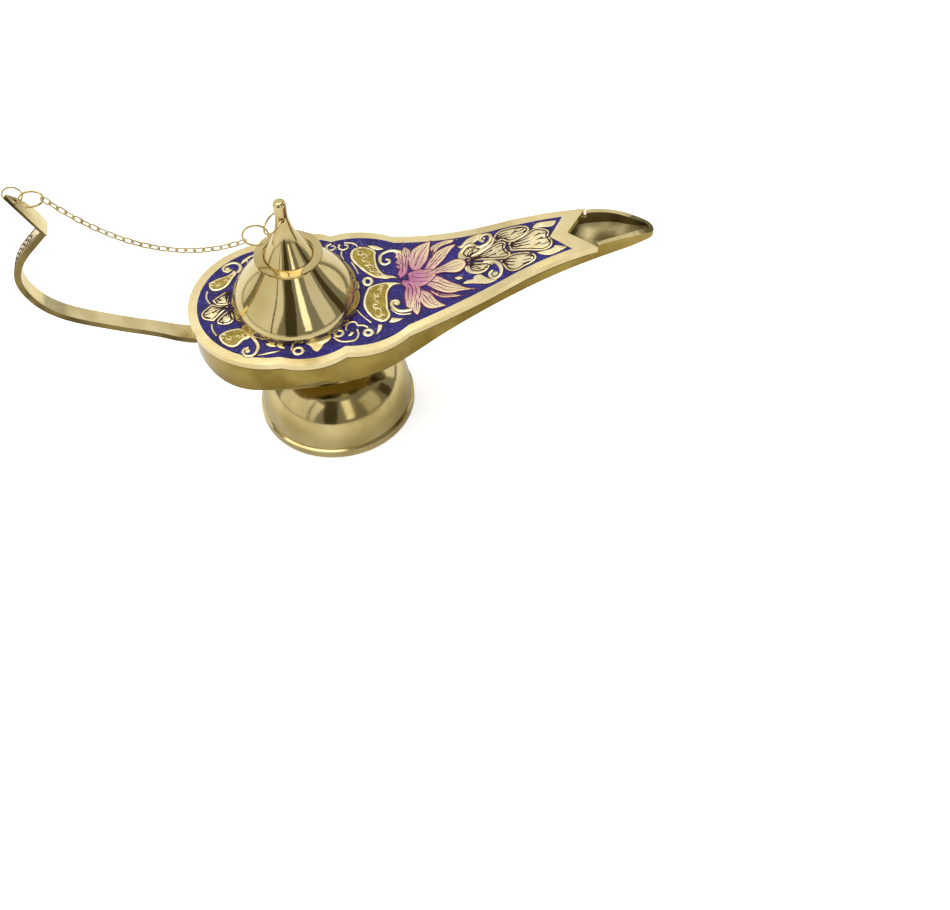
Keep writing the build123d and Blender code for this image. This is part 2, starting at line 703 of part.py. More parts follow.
def sag_at(length):
    # the catenary's point at a length along it from its lowest point
    along = asinh(length / sag_size)
    return side(sag_low_x + sag_size * along, sag_low_z + sag_size * (cosh(along) - 1))


# Grips are half-way between the centre lines of two links that cross
link_overlap = hang(link_wire, link_wire) / 2
start_length = sag_size * sinh((start_ring_end.X - sag_low_x) / sag_size)
end_length = sag_size * sinh((chain_tip.X - sag_low_x) / sag_size)
first_grip = start_length - hang(link_wire, ring_wire) + link_overlap
last_grip = end_length - link_overlap
link_pitch = (last_grip - first_grip) / link_count
grips = [sag_at(first_grip + n * link_pitch) for n in range(link_count + 1)]

export_step(ring(handle_ring_centre, leaf_run, True, handle_ring_outer, handle_ring_wire),
            "parts/handle_ring.step")
export_step(ring((start_ring_start + start_ring_end) / 2, heading(start_ring_slope), False,
                 jump_ring_outer, ring_wire), "parts/chain_start_ring.step")
export_step(ring(end_ring_centre, heading(end_ring_slope), True, finial_ring_outer, ring_wire),
            "parts/chain_end_ring.step")
export_step(ring(finial_ring_centre, heading(finial_ring_slope), False, finial_ring_outer, ring_wire),
            "parts/finial_ring.step")

links_per_run = link_count // run_count
for run_number in range(run_count):
    first = run_number * links_per_run
    links = [link(grips[n], grips[n + 1], n % 2 == 0) for n in range(first, first + links_per_run)]
    solids = [solid for item in links for solid in item.solids()]
    export_step(Compound(children=solids), f"parts/chain_run_{run_number + 1}.step")
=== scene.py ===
import math

import bmesh
import bpy
from mathutils import Matrix, Vector
from mathutils.bvhtree import BVHTree


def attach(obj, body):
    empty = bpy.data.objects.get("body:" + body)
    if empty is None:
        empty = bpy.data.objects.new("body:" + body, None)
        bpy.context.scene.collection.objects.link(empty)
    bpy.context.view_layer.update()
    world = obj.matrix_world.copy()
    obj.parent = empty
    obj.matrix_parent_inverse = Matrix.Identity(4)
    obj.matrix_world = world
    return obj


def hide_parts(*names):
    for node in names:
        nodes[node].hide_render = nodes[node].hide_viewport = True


# Genie oil lamp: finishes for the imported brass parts, and the enamelled ornament of the top plate.
# Scene in metres, X towards the spout, Z up, origin at the foot's centre. Ornament places in millimetres.

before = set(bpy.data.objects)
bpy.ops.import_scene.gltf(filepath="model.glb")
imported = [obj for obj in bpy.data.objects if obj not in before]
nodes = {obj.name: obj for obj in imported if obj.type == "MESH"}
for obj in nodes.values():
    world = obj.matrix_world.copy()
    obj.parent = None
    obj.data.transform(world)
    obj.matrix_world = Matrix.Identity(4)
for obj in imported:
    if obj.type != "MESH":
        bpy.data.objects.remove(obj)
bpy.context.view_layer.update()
millimetre = 0.001

# the plate's top: level at the rear, then an arc that climbs, then one that levels out, in millimetres
deck = {"height": 76.0, "riseStart": 19.0, "riseRadius": 204.7, "riseEnd": 87.97, "topHeight": 97.0,
        "levelRadius": 154.4, "levelX": 140.0}


def deckHeight(x):
    if x <= deck["riseStart"]:
        return deck["height"]
    if x <= deck["riseEnd"]:
        radius, away = deck["riseRadius"], x - deck["riseStart"]
        return deck["height"] + radius - math.sqrt(radius ** 2 - away ** 2)
    radius, away = deck["levelRadius"], deck["levelX"] - x
    return deck["topHeight"] - radius + math.sqrt(radius ** 2 - away ** 2)


def colour(red, green, blue):
    # linear colour from display values of 0 to 255
    shares = [value / 255 for value in (red, green, blue)]
    return tuple(s / 12.92 if s <= 0.04045 else ((s + 0.055) / 1.055) ** 2.4 for s in shares) + (1.0,)


def addNode(tree, kind, **settings):
    node = tree.nodes.new(kind)
    for key, value in settings.items():
        setattr(node, key, value)
    return node


def feed(tree, node, socket, value):
    # a socket takes a link from another socket, or a constant
    if isinstance(value, bpy.types.NodeSocket):
        tree.links.new(value, node.inputs[socket])
    else:
        node.inputs[socket].default_value = value


def calc(tree, operation, *values):
    node = addNode(tree, "ShaderNodeMath", operation=operation)
    for index, value in enumerate(values):
        feed(tree, node, index, value)
    return node.outputs[0]


def spread(tree, value, low, high, toLow, toHigh):
    node = addNode(tree, "ShaderNodeMapRange")
    for index, item in enumerate((value, low, high, toLow, toHigh)):
        feed(tree, node, index, item)
    return node.outputs["Result"]


def blendColours(tree, share, first, second):
    node = addNode(tree, "ShaderNodeMix", data_type="RGBA")
    for index, item in ((0, share), (6, first), (7, second)):
        feed(tree, node, index, item)
    return node.outputs[2]


def newGroup(name, inputs, output):
    group = bpy.data.node_groups.new(name, "ShaderNodeTree")
    for label, value in inputs.items():
        socket = group.interface.new_socket(label, in_out="INPUT", socket_type="NodeSocketFloat")
        socket.default_value = value
    group.interface.new_socket(output, in_out="OUTPUT", socket_type="NodeSocketFloat")
    return group, group.nodes.new("NodeGroupInput"), group.nodes.new("NodeGroupOutput")


def makeMottle():
    # soft uneven patches, as of handling and old polish
    group, given, result = newGroup("mottle", {"Scale": 60.0, "Low": 0.4, "High": 0.65}, "Mask")
    place = addNode(group, "ShaderNodeTexCoord")
    grain = addNode(group, "ShaderNodeTexNoise")
    grain.inputs["Detail"].default_value = 5
    group.links.new(place.outputs["Object"], grain.inputs["Vector"])
    group.links.new(given.outputs["Scale"], grain.inputs["Scale"])
    mask = spread(group, grain.outputs[0], given.outputs["Low"], given.outputs["High"], 0.0, 1.0)
    group.links.new(mask, result.inputs["Mask"])
    return group


def makeBrushing():
    # fine scratches that run along the lamp
    group, given, result = newGroup("brushing", {"Scale": 90.0}, "Height")
    place = addNode(group, "ShaderNodeTexCoord")
    stretch = addNode(group, "ShaderNodeMapping")
    stretch.inputs["Scale"].default_value = (1.0, 16.0, 16.0)
    grain = addNode(group, "ShaderNodeTexNoise")
    grain.inputs["Detail"].default_value = 3
    group.links.new(place.outputs["Object"], stretch.inputs["Vector"])
    group.links.new(stretch.outputs["Vector"], grain.inputs["Vector"])
    group.links.new(given.outputs["Scale"], grain.inputs["Scale"])
    group.links.new(grain.outputs[0], result.inputs["Height"])
    return group


def makeLathe():
    # rings that a lathe leaves round an upright axis
    group, given, result = newGroup("lathe", {"AxisX": 0.0, "Pitch": 1500.0}, "Height")
    place = addNode(group, "ShaderNodeTexCoord")
    parts = addNode(group, "ShaderNodeSeparateXYZ")
    group.links.new(place.outputs["Object"], parts.inputs[0])
    across = calc(group, "SUBTRACT", parts.outputs[0], given.outputs["AxisX"])
    square = calc(group, "ADD", calc(group, "MULTIPLY", across, across),
                  calc(group, "MULTIPLY", parts.outputs[1], parts.outputs[1]))
    along = calc(group, "SUBTRACT", calc(group, "SQRT", square), parts.outputs[2])
    grain = addNode(group, "ShaderNodeTexNoise", noise_dimensions="1D")
    grain.inputs["Scale"].default_value = 1.0
    grain.inputs["Detail"].default_value = 2
    group.links.new(calc(group, "MULTIPLY", along, given.outputs["Pitch"]), grain.inputs["W"])
    group.links.new(grain.outputs[0], result.inputs["Height"])
    return group


groups = {"mottle": makeMottle(), "brushing": makeBrushing(), "lathe": makeLathe()}


def useGroup(tree, name, **values):
    node = addNode(tree, "ShaderNodeGroup", node_tree=groups[name])
    for key, value in values.items():
        feed(tree, node, key, value)
    return node.outputs[0]


def newMaterial(name):
    material = bpy.data.materials.new(name)
    material.use_nodes = True
    return material, material.node_tree, material.node_tree.nodes["Principled BSDF"]


def addBump(tree, shader, layers):
    # each layer is a height and how deep it is in metres
    normal = None
    for height, depth in layers:
        bump = addNode(tree, "ShaderNodeBump")
        feed(tree, bump, "Height", height)
        feed(tree, bump, "Distance", depth)
        if normal is not None:
            feed(tree, bump, "Normal", normal)
        normal = bump.outputs[0]
    tree.links.new(normal, shader.inputs["Normal"])


wear = {"fineScale": 9, "fineLow": 0.45, "fineHigh": 0.75, "patchShare": 0.6, "fineShare": 0.4}


def makeMetal(name, look):
    # two tones of one metal, with finish marks of its own
    material, tree, shader = newMaterial(name)
    patches = useGroup(tree, "mottle", Scale=look["patchScale"])
    fine = useGroup(tree, "mottle", Scale=look["patchScale"] * wear["fineScale"], Low=wear["fineLow"],
                    High=wear["fineHigh"])
    base = blendColours(tree, patches, look["light"], look["dark"])
    # painted shade near the table: darker towards the bottom
    if "low" in look:
        parts = addNode(tree, "ShaderNodeSeparateXYZ")
        tree.links.new(addNode(tree, "ShaderNodeTexCoord").outputs["Object"], parts.inputs[0])
        base = blendColours(tree, spread(tree, parts.outputs[2], look["lowFrom"], look["lowTo"], 0.0, 1.0),
                            look["low"], base)
    tree.links.new(base, shader.inputs["Base Color"])
    worn = calc(tree, "ADD", calc(tree, "MULTIPLY", patches, wear["patchShare"]),
                calc(tree, "MULTIPLY", fine, wear["fineShare"]))
    tree.links.new(spread(tree, worn, 0.0, 1.0, look["smooth"], look["rough"]), shader.inputs["Roughness"])
    shader.inputs["Metallic"].default_value = 1.0
    layers = [(patches, look["wave"])]
    if "axisX" in look:
        layers.append((useGroup(tree, "lathe", AxisX=look["axisX"]), look["marks"]))
    else:
        layers.append((useGroup(tree, "brushing"), look["marks"]))
    addBump(tree, shader, layers)
    return material


# the last three keys of the side brass: a painted shade near the table, and the heights between which it
# fades
metals = {
    "castBrass": {"light": colour(226, 207, 154), "dark": colour(198, 178, 124), "patchScale": 45.0,
                  "smooth": 0.13, "rough": 0.28, "wave": 2.5e-5, "marks": 0.8e-5},
    # a darker copy of the cast brass for the body's sideways faces: painted shade, deepening further near the
    # table
    "sideShadeBrass": {"light": colour(168, 146, 76), "dark": colour(132, 110, 48), "patchScale": 45.0,
                  "smooth": 0.1, "rough": 0.24, "wave": 3e-5, "marks": 0.6e-5,
                  "low": colour(112, 92, 34), "lowFrom": 0.046, "lowTo": 0.068},
    # a darker copy of the brass for the strap's narrow sides: painted shade
    "edgeShadeBrass": {"light": colour(138, 120, 72), "dark": colour(92, 78, 42), "patchScale": 60.0,
                  "smooth": 0.25, "rough": 0.42, "wave": 4e-5, "marks": 0.8e-5},
    "plateBrass": {"light": colour(240, 222, 170), "dark": colour(220, 199, 144), "patchScale": 70.0,
                   "smooth": 0.2, "rough": 0.32, "wave": 2.5e-5, "marks": 0.3e-5},
    "turnedBrass": {"light": colour(222, 203, 150), "dark": colour(200, 180, 120), "patchScale": 30.0,
                    "smooth": 0.07, "rough": 0.13, "wave": 1.2e-5, "marks": 0.3e-5, "axisX": -0.0125},
    "footBrass": {"light": colour(214, 195, 140), "dark": colour(180, 160, 100), "patchScale": 40.0,
                  "smooth": 0.1, "rough": 0.2, "wave": 1.5e-5, "marks": 0.4e-5, "axisX": 0.0},
    "wireBrass": {"light": colour(226, 206, 150), "dark": colour(190, 168, 108), "patchScale": 160.0,
                  "smooth": 0.12, "rough": 0.26, "wave": 0.5e-5, "marks": 0.4e-5},
    "motifBrass": {"light": colour(246, 231, 188), "dark": colour(222, 203, 152), "patchScale": 190.0,
                   "smooth": 0.22, "rough": 0.4, "wave": 1.8e-5, "marks": 0.4e-5},
    # rougher brass painted dark as shade, for the inside of the bowl and spout and the groove under the plate
    "roughShadeBrass": {"light": colour(190, 175, 128), "dark": colour(112, 98, 60), "patchScale": 60.0,
                  "smooth": 0.42, "rough": 0.62, "wave": 3e-5, "marks": 1e-5},
    "plainSteel": {"light": colour(196, 198, 200), "dark": colour(168, 170, 172), "patchScale": 80.0,
                   "smooth": 0.18, "rough": 0.34, "wave": 1e-5, "marks": 0.6e-5},
}
materials = {name: makeMetal(name, look) for name, look in metals.items()}

# what the node names start with; the first that fits is taken
finishes = {
    "body_shell": "castBrass", "foot_": "plainSteel", "foot": "footBrass", "deck_plate": "plateBrass",
    "handle_ring": "wireBrass", "handle": "plateBrass", "lid_washer": "plainSteel",
    "lid_nut": "plainSteel", "body_stud": "plainSteel", "lid": "turnedBrass", "finial_ring": "wireBrass",
    "finial": "turnedBrass", "chain": "wireBrass",
}
for name, node in nodes.items():
    for start, finish in finishes.items():
        if name.startswith(start):
            node.data.materials.clear()
            node.data.materials.append(materials[finish])
            break


shell = {
    "middleHeight": 0.097,                         # line along the lamp that the inside faces look at
    "inwardLimit": 0.3, "sideLimit": 0.4, "edgeLimit": 0.7,      # cosines that tell faces apart
    # the groove: a band under the plate's edge that is painted with shade
    "grooveTop": 2.9, "grooveBottom": 4.4, "grooveEnd": 0.13,    # below the plate's top, and along the lamp
}


def paintShadeInsideAndSides(data):
    # the inside of the bowl and spout, and the groove under the plate, are unpolished and painted dark as
    # shade; the sideways faces are painted a darker olive as shade
    data.materials.append(materials["roughShadeBrass"])
    data.materials.append(materials["sideShadeBrass"])
    for polygon in data.polygons:
        centre = polygon.center
        inwards = Vector((0, -centre.y, shell["middleHeight"] - centre.z))
        below = deckHeight(centre.x / millimetre) - centre.z / millimetre
        inShadedGroove = centre.x < shell["grooveEnd"] and shell["grooveTop"] < below < shell["grooveBottom"]
        if inShadedGroove or inwards.length and polygon.normal.dot(inwards.normalized()) > shell["inwardLimit"]:
            polygon.material_index = 1
        elif polygon.normal.z < shell["sideLimit"]:
            polygon.material_index = 2


def paintShadeOnStrapSides(data):
    # the strap's narrow sides are left as cast, rougher, and painted darker as shade
    data.materials.append(materials["edgeShadeBrass"])
    for polygon in data.polygons:
        if abs(polygon.normal.y) > shell["edgeLimit"]:
            polygon.material_index = 1


paintShadeInsideAndSides(nodes["body_shell"].data)
paintShadeOnStrapSides(nodes["handle"].data)
print("metals done")


glaze = {"patchLow": 0.3, "patchHigh": 0.7, "fleckEdge": 0.05, "specular": 0.2, "coatRoughness": 0.08,
         "wave": 2e-5}


def makeEnamel(name, look):
    # glossy glass colour with flecks of the metal below
    material, tree, shader = newMaterial(name)
    patches = useGroup(tree, "mottle", Scale=look["patchScale"], Low=glaze["patchLow"],
                       High=glaze["patchHigh"])
    flecks = useGroup(tree, "mottle", Scale=look["fleckScale"], Low=look["fleckLow"],
                      High=look["fleckLow"] + glaze["fleckEdge"])
    base = blendColours(tree, patches, look["light"], look["dark"])
    base = blendColours(tree, flecks, base, look["fleck"])
    tree.links.new(base, shader.inputs["Base Color"])
    tree.links.new(spread(tree, patches, 0.0, 1.0, look["smooth"], look["rough"]), shader.inputs["Roughness"])
    shader.inputs["Coat Weight"].default_value = look["coat"]
    shader.inputs["Specular IOR Level"].default_value = glaze["specular"]
    shader.inputs["Coat Roughness"].default_value = glaze["coatRoughness"]
    addBump(tree, shader, [(patches, glaze["wave"])])
    return material


enamels = {
    "blueEnamel": {"light": colour(42, 32, 122), "dark": colour(26, 18, 80), "fleck": colour(104, 94, 140),
                   "patchScale": 150.0, "fleckScale": 900.0, "fleckLow": 0.62, "smooth": 0.25, "rough": 0.4,
                   "coat": 0.08},
    "yellowEnamel": {"light": colour(172, 150, 52), "dark": colour(130, 108, 26),
                     "fleck": colour(206, 182, 96), "patchScale": 300.0, "fleckScale": 900.0,
                     "fleckLow": 0.62, "smooth": 0.28, "rough": 0.42, "coat": 0.15},
    "maroonEnamel": {"light": colour(66, 20, 20), "dark": colour(34, 14, 16), "fleck": colour(84, 48, 36),
                     "patchScale": 260.0, "fleckScale": 900.0, "fleckLow": 0.7, "smooth": 0.35, "rough": 0.5,
                     "coat": 0.0},
    "pinkLine": {"light": colour(122, 44, 88), "dark": colour(84, 26, 56), "fleck": colour(150, 80, 110),
                 "patchScale": 260.0, "fleckScale": 900.0, "fleckLow": 0.7, "smooth": 0.35, "rough": 0.5,
                 "coat": 0.0},
}
for name, look in enamels.items():
    materials[name] = makeEnamel(name, look)

lotusLook = {
    "heart": (0.0405, 0.0015, 0.078), "pink": colour(184, 96, 146), "deep": colour(140, 58, 106),
    "brass": colour(236, 216, 170), "pinkTo": 0.008, "brassFrom": 0.021,         # reach from the heart
    "streaks": 34.0, "streakLow": 0.3, "streakHigh": 0.7, "streakShift": 0.013, "streakDepth": 3e-5,
    "patchScale": 240.0, "patchLow": 0.35, "patchHigh": 0.7, "metallic": 0.9, "pinkRough": 0.35,
    "brassRough": 0.3, "coat": 0.35, "brushDepth": 1e-5,
}


def makeLotus():
    # pink at the lotus's heart that streaks out to brass at the petals' tips
    material, tree, shader = newMaterial("lotusEnamel")
    place = addNode(tree, "ShaderNodeTexCoord").outputs["Object"]
    offset = addNode(tree, "ShaderNodeVectorMath", operation="SUBTRACT")
    tree.links.new(place, offset.inputs[0])
    offset.inputs[1].default_value = lotusLook["heart"]
    parts = addNode(tree, "ShaderNodeSeparateXYZ")
    tree.links.new(offset.outputs[0], parts.inputs[0])
    square = calc(tree, "ADD", calc(tree, "MULTIPLY", parts.outputs[0], parts.outputs[0]),
                  calc(tree, "MULTIPLY", parts.outputs[1], parts.outputs[1]))
    reach = calc(tree, "SQRT", square)
    angle = calc(tree, "ARCTAN2", parts.outputs[1], parts.outputs[0])
    streak = addNode(tree, "ShaderNodeTexNoise", noise_dimensions="1D")
    streak.inputs["Scale"].default_value = 1.0
    streak.inputs["Detail"].default_value = 3
    tree.links.new(calc(tree, "MULTIPLY", angle, lotusLook["streaks"]), streak.inputs["W"])
    shift = spread(tree, streak.outputs[0], lotusLook["streakLow"], lotusLook["streakHigh"],
                   -lotusLook["streakShift"], lotusLook["streakShift"])
    brassShare = spread(tree, calc(tree, "ADD", reach, shift), lotusLook["pinkTo"], lotusLook["brassFrom"],
                        0.0, 1.0)
    patches = useGroup(tree, "mottle", Scale=lotusLook["patchScale"], Low=lotusLook["patchLow"],
                       High=lotusLook["patchHigh"])
    pinkTone = blendColours(tree, patches, lotusLook["pink"], lotusLook["deep"])
    tree.links.new(blendColours(tree, brassShare, pinkTone, lotusLook["brass"]), shader.inputs["Base Color"])
    tree.links.new(calc(tree, "MULTIPLY", brassShare, lotusLook["metallic"]), shader.inputs["Metallic"])
    tree.links.new(spread(tree, brassShare, 0.0, 1.0, lotusLook["pinkRough"], lotusLook["brassRough"]),
                   shader.inputs["Roughness"])
    tree.links.new(spread(tree, brassShare, 0.0, 1.0, lotusLook["coat"], 0.0), shader.inputs["Coat Weight"])
    addBump(tree, shader, [(streak.outputs[0], lotusLook["streakDepth"]),
                           (useGroup(tree, "brushing"), lotusLook["brushDepth"])])
    return material


materials["lotusEnamel"] = makeLotus()
print("enamels done")

# how flat curves become pieces that lie on a surface; lengths in millimetres, angles in degrees
sharpTurn = 62.0               # a point that turns this far is a corner
weldDistance = 0.0005
smoothTo = 40.0
sliceEvery = 3                 # shapes are cut at this distance so that they follow a bent surface
plateBends = (20, 132)         # where along the lamp the plate isn't level


def turning(before, here, after):
    # how sharply a line turns at a point, in degrees
    first, second = Vector(here) - Vector(before), Vector(after) - Vector(here)
    if first.length == 0 or second.length == 0:
        return 0.0
    return math.degrees(first.angle(second))


def addSpline(curve, points, closed, radii=None):
    spline = curve.splines.new("BEZIER")
    spline.bezier_points.add(len(points) - 1)
    spline.use_cyclic_u = closed
    for index, (place, point) in enumerate(zip(points, spline.bezier_points)):
        ring = [points[index - 1], place, points[(index + 1) % len(points)]]
        inside = closed or 0 < index < len(points) - 1
        corner = inside and turning(*ring) > sharpTurn
        point.co = (place[0], place[1], 0)
        point.handle_left_type = point.handle_right_type = "VECTOR" if corner else "AUTO"
        if radii:
            point.radius = radii[index]


def bakeCurve(curve):
    holder = bpy.data.objects.new("holder", curve)
    bpy.context.scene.collection.objects.link(holder)
    mesh = bpy.data.meshes.new_from_object(holder.evaluated_get(bpy.context.evaluated_depsgraph_get()))
    bpy.data.objects.remove(holder)
    bpy.data.curves.remove(curve)
    return mesh


def onPlate(place):
    return Vector((place.x, place.y, place.z + deckHeight(place.x))) * millimetre


class Layer:
    # collects flat shapes and strokes of one finish, then lays them on a surface

    def __init__(self, name, put=onPlate, bends=plateBends):
        self.name, self.put, self.bends = name, put, bends
        self.bm = bmesh.new()

    def take(self, curve, lift, flatten):
        mesh = bakeCurve(curve)
        mesh.transform(Matrix.Translation((0, 0, lift)) @ Matrix.Diagonal((1, 1, flatten, 1)))
        self.bm.from_mesh(mesh)
        bpy.data.meshes.remove(mesh)

    def island(self, outlines, grow=0.0, lift=0.05, rim=0.3, flatten=0.4):
        # a filled shape with a rounded rim; further outlines inside the first are holes
        curve = bpy.data.curves.new("island", "CURVE")
        curve.dimensions = "2D"
        curve.fill_mode = "BOTH"
        curve.resolution_u = 5
        curve.bevel_depth = rim
        curve.bevel_resolution = 1
        curve.offset = grow - rim
        for points in outlines:
            addSpline(curve, points, True)
        self.take(curve, lift, flatten)

    def stroke(self, points, widths, lift=0.05, flatten=0.35):
        # a rounded line whose width may change along it
        curve = bpy.data.curves.new("stroke", "CURVE")
        curve.dimensions = "3D"
        curve.resolution_u = 5
        curve.bevel_depth = 0.5
        curve.bevel_resolution = 2
        curve.use_fill_caps = True
        first, last = widths if isinstance(widths, tuple) else (widths, widths)
        shares = [index / (len(points) - 1) for index in range(len(points))]
        addSpline(curve, points, False, [first + (last - first) * share for share in shares])
        self.take(curve, lift, flatten)

    def finish(self, material, slot, *standsFor):
        bm = self.bm
        bmesh.ops.remove_doubles(bm, verts=bm.verts, dist=weldDistance)
        for x in range(*self.bends, sliceEvery):
            bmesh.ops.bisect_plane(bm, geom=[*bm.verts, *bm.edges, *bm.faces], plane_co=(x, 0, 0),
                                   plane_no=(1, 0, 0))
        for vertex in bm.verts:
            vertex.co = self.put(vertex.co)
        bmesh.ops.recalc_face_normals(bm, faces=bm.faces)
        mesh = bpy.data.meshes.new(self.name)
        bm.to_mesh(mesh)
        bm.free()
        for polygon in mesh.polygons:
            polygon.use_smooth = True
        mesh.set_sharp_from_angle(angle=math.radians(smoothTo))
        mesh.materials.append(materials[material])
        piece = bpy.data.objects.new(self.name, mesh)
        bpy.context.scene.collection.objects.link(piece)
        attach(piece, "vessel")
        if standsFor:
            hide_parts(*standsFor)
        print(self.name, len(mesh.polygons), "faces")


def arc(start, middle, end, steps=10):
    # points on the circle through all three, from start until just before end
    ax, ay, bx, by, cx, cy = *start, *middle, *end
    d = 2 * (ax * (by - cy) + bx * (cy - ay) + cx * (ay - by))
    a, b, c = ax * ax + ay * ay, bx * bx + by * by, cx * cx + cy * cy
    centre = Vector(((a * (by - cy) + b * (cy - ay) + c * (ay - by)) / d,
                     (a * (cx - bx) + b * (ax - cx) + c * (bx - ax)) / d))
    radius = (Vector(start) - centre).length
    first, second, last = [math.atan2(y - centre.y, x - centre.x) for x, y in (start, middle, end)]
    sweep = (last - first) % math.tau
    if (second - first) % math.tau > sweep:
        sweep -= math.tau
    return [(centre.x + radius * math.cos(first + sweep * n / steps),
             centre.y + radius * math.sin(first + sweep * n / steps)) for n in range(steps)]


def circle(x, y, radius, points=12, stretch=1.0):
    turns = [math.tau * n / points for n in range(points)]
    return [(x + radius * math.cos(turn), y + stretch * radius * math.sin(turn)) for turn in turns]


# the enamelled field's outline on the far side, from the rear to the fork's notch, and the bare land
# round the mouth
field = {"rear": (-59.6, 0.0), "rearRadius": 37.1, "cusp": (-22.5, 37.1), "lobe": (-8.5, 40.4),
         "frontCusp": (7.5, 35.6), "frontLobe": (17.8, 36.4), "frontEnd": (37.8, 28.5),
         "flank": (80.4, 17.9), "prong": (118.6, 11.4), "notch": (110.3, 0.0), "flankSteps": 24,
         "landX": -12.5, "land": 29.8, "landSteps": 72, "lift": 0.03, "depth": 0.6}


def fieldOutline():
    aside = field["rearRadius"] * math.sqrt(0.5)
    half = [*arc(field["rear"], (field["cusp"][0] - aside, aside), field["cusp"]),
            *arc(field["cusp"], field["lobe"], field["frontCusp"]),
            *arc(field["frontCusp"], field["frontLobe"], field["frontEnd"]),
            *arc(field["frontEnd"], field["flank"], field["prong"], field["flankSteps"]), field["prong"]]
    return [*half, field["notch"], *[(x, -y) for x, y in reversed(half[1:])]]


def polygonIsland(layer, outlines, lift, depth):
    # a flat sheet with straight steps between its points, from lift down by depth
    curve = bpy.data.curves.new("sheet", "CURVE")
    curve.dimensions = "2D"
    curve.fill_mode = "BOTH"
    curve.extrude = depth / 2
    for points in outlines:
        spline = curve.splines.new("POLY")
        spline.points.add(len(points) - 1)
        spline.use_cyclic_u = True
        for place, point in zip(points, spline.points):
            point.co = (*place, 0, 1)
    layer.take(curve, lift - depth / 2, 1.0)


ground = Layer("enamelGround")
land = circle(field["landX"], 0, field["land"], field["landSteps"])
polygonIsland(ground, [fieldOutline(), land], field["lift"], field["depth"])
ground.finish("blueEnamel", "enamel_blue", "enamel_blue")


def pointAlong(points, share):
    # the place at a share of an open line's length
    lengths = [0.0]
    for a, b in zip(points, points[1:]):
        lengths.append(lengths[-1] + (Vector(b) - Vector(a)).length)
    want = share * lengths[-1]
    for index in range(len(points) - 1):
        if want <= lengths[index + 1]:
            part = (want - lengths[index]) / (lengths[index + 1] - lengths[index])
            return Vector(points[index]).lerp(Vector(points[index + 1]), part)
    return Vector(points[-1])


def flankLines(outline, tip, shares, start, end, steps=5):
    # lines inside a petal that run from its base towards its tip, at shares of its width
    left, right = outline[:tip + 1], [outline[0], *reversed(outline[tip:])]
    fractions = [start + (end - start) * n / steps for n in range(steps + 1)]
    return [[tuple(pointAlong(left, f).lerp(pointAlong(right, f), share)) for f in fractions]
            for share in shares]


# Ornament, read off the photographed plate: x along the lamp, y across it with the far side plus.
lotus = {
    # outline, and the number of its tip point
    "serrated": ([(38, 3), (37.5, 7), (38.8, 9), (36.8, 11.2), (38.6, 12.5), (37, 14), (38.6, 16.5),
                  (37.2, 18), (38, 20), (36.6, 22), (40.7, 21), (44, 18), (43, 12), (41, 5)], 9),
    "smallTip": ([(41.5, 14), (41, 20.5), (42.7, 23.8), (45.2, 20), (44, 14)], 2),
    "farUpper": ([(44, 8), (45.5, 19.3), (48, 21.7), (52, 23), (55.8, 23.6), (54.8, 20), (54, 16.5), (52, 11),
                  (47, 5)], 4),
    "farMiddle": ([(52, 8), (55.5, 14.5), (55, 18.5), (57, 20.3), (60.5, 21), (64.5, 20.8), (67, 20),
                   (66, 18.7), (62, 18.3), (58.5, 17), (56, 12)], 6),
    "farLower": ([(49, 3), (53, 10), (57.5, 14.8), (61, 16.3), (64.5, 16.7), (67.5, 16.3), (65, 14.3),
                  (62.5, 11.5), (60, 8.5), (57, 6), (53, 3)], 5),
    "nearLong": ([(47, -1), (55, -1), (58.5, -4.5), (61, -7.5), (64.5, -11), (68, -14.5), (71.8, -16.8),
                  (68, -15.8), (64.5, -15), (61, -14.8), (57, -13), (51, -7)], 6),
    "nearTip": ([(50, -9), (57.5, -14.5), (61, -16), (65, -18.5), (60, -17.5), (55, -15.5)], 3),
    "nearLower": ([(47, -8), (49, -9.5), (51, -12), (52.5, -16), (54.5, -19.3), (56.8, -21.9), (54.5, -21.8),
                   (51.5, -21.7), (48, -20.3), (45.8, -16.5), (44.5, -11)], 5),
    "nearSmall": ([(43, -12), (41, -19), (41.8, -22), (43, -23.6), (44.5, -20.5), (45.2, -17), (45, -13)], 3),
    "nearBase": ([(39, 1), (38.2, -1), (39.8, -4), (38.7, -8), (38.5, -11), (38.4, -15), (39, -17.5),
                  (42, -18.5), (44, -15), (46.5, -8), (45, -2)], 6),
    "heart": ([(42, 5), (47, 5.8), (50, 5), (54, 3.5), (55, 0), (52, -3.5), (47, -5.5), (42, -3)], 4),
    "middle": ([(51, 1.5), (55, 3.5), (58, 4.2), (62, 5.6), (65.5, 6.2), (68.5, 4.8), (69.8, 1.8), (68.5, -1),
                (65.5, -2.5), (62, -1.5), (59, 0), (55, 0.4)], 6),
}
farPaisley = [(21.1, 29.4), (25.5, 28), (28.6, 24.4), (28.2, 21.5), (28, 18.2), (28.2, 14.4), (29.2, 10.7),
              (30.5, 8.2), (32.8, 6.5), (34.8, 5.7), (36.7, 3.2), (34.8, 4.2), (31.9, 4.2), (28.6, 5.3),
              (25.7, 6.7), (23.4, 9), (21.1, 11.9), (19, 15.3), (17.1, 18.6), (15.9, 21.9), (15.9, 25),
              (17.5, 28.3)]
farYellow = [(21, 28.1), (24.7, 27), (27.1, 24), (26.9, 21.5), (26.8, 18), (27, 14), (28.1, 10.2),
             (29.6, 7.2), (26.6, 8), (24.3, 10.1), (22.1, 12.9), (20.1, 16), (18.3, 19.2), (17.2, 22.2),
             (17.3, 24.8), (18.5, 27.2)]
